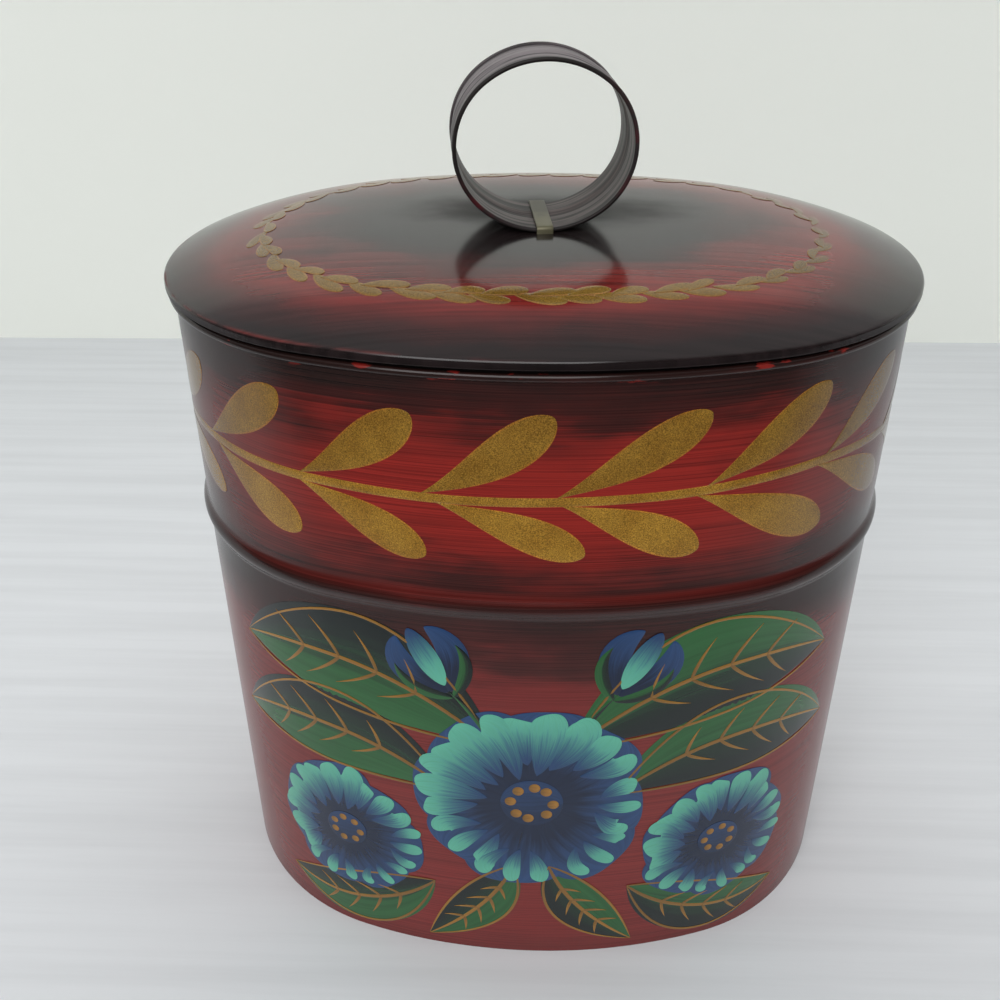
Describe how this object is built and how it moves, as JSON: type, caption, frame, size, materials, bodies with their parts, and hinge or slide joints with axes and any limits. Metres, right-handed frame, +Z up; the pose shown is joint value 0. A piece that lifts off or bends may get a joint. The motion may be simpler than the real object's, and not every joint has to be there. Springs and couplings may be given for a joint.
{
  "type": "oval lidded tin box",
  "caption": "Oval painted tin box with a wired rim, a swaged bead, a domed lift-off lid on an inner collar, and a banded ring handle strapped to the lid.",
  "frame": {"origin": "middle of the underside of the base, on the table", "axes": "+Z up through the lid, +X along the width of the oval, -Y towards the front"},
  "size_m": [0.153, 0.111, 0.1926],
  "materials": {
    "wall_paint": "varnished red and dark japanning with a painted gold border",
    "lid_paint": "varnished red and black japanning with a painted gold wreath",
    "collar_paint": "dark japanning, satin",
    "ring_lacquer": "thin worn grey-brown lacquer over tinplate",
    "strap_metal": "bare tinplate under yellowed varnish",
    "tinplate": "dull bare tinplate",
    "solder": "smooth grey soft solder",
    "wire": "drawn iron wire inside the roll"
  },
  "bodies": {
    "body": {"body_wall": "wall_paint", "rim_wire": "wire", "base_plate": "tinplate", "base_solder": "solder"},
    "lid": {"lid_dome": "lid_paint", "lid_collar": "collar_paint", "collar_solder": "solder", "ring_band": "ring_lacquer", "ring_strap": "strap_metal", "strap_solder": "solder"}
  },
  "joints": [
    {"name": "lid_lift", "type": "slide", "parent": "body", "child": "lid", "axis": [0, 0, 1], "range_m": [0, 0.12]}
  ]
}
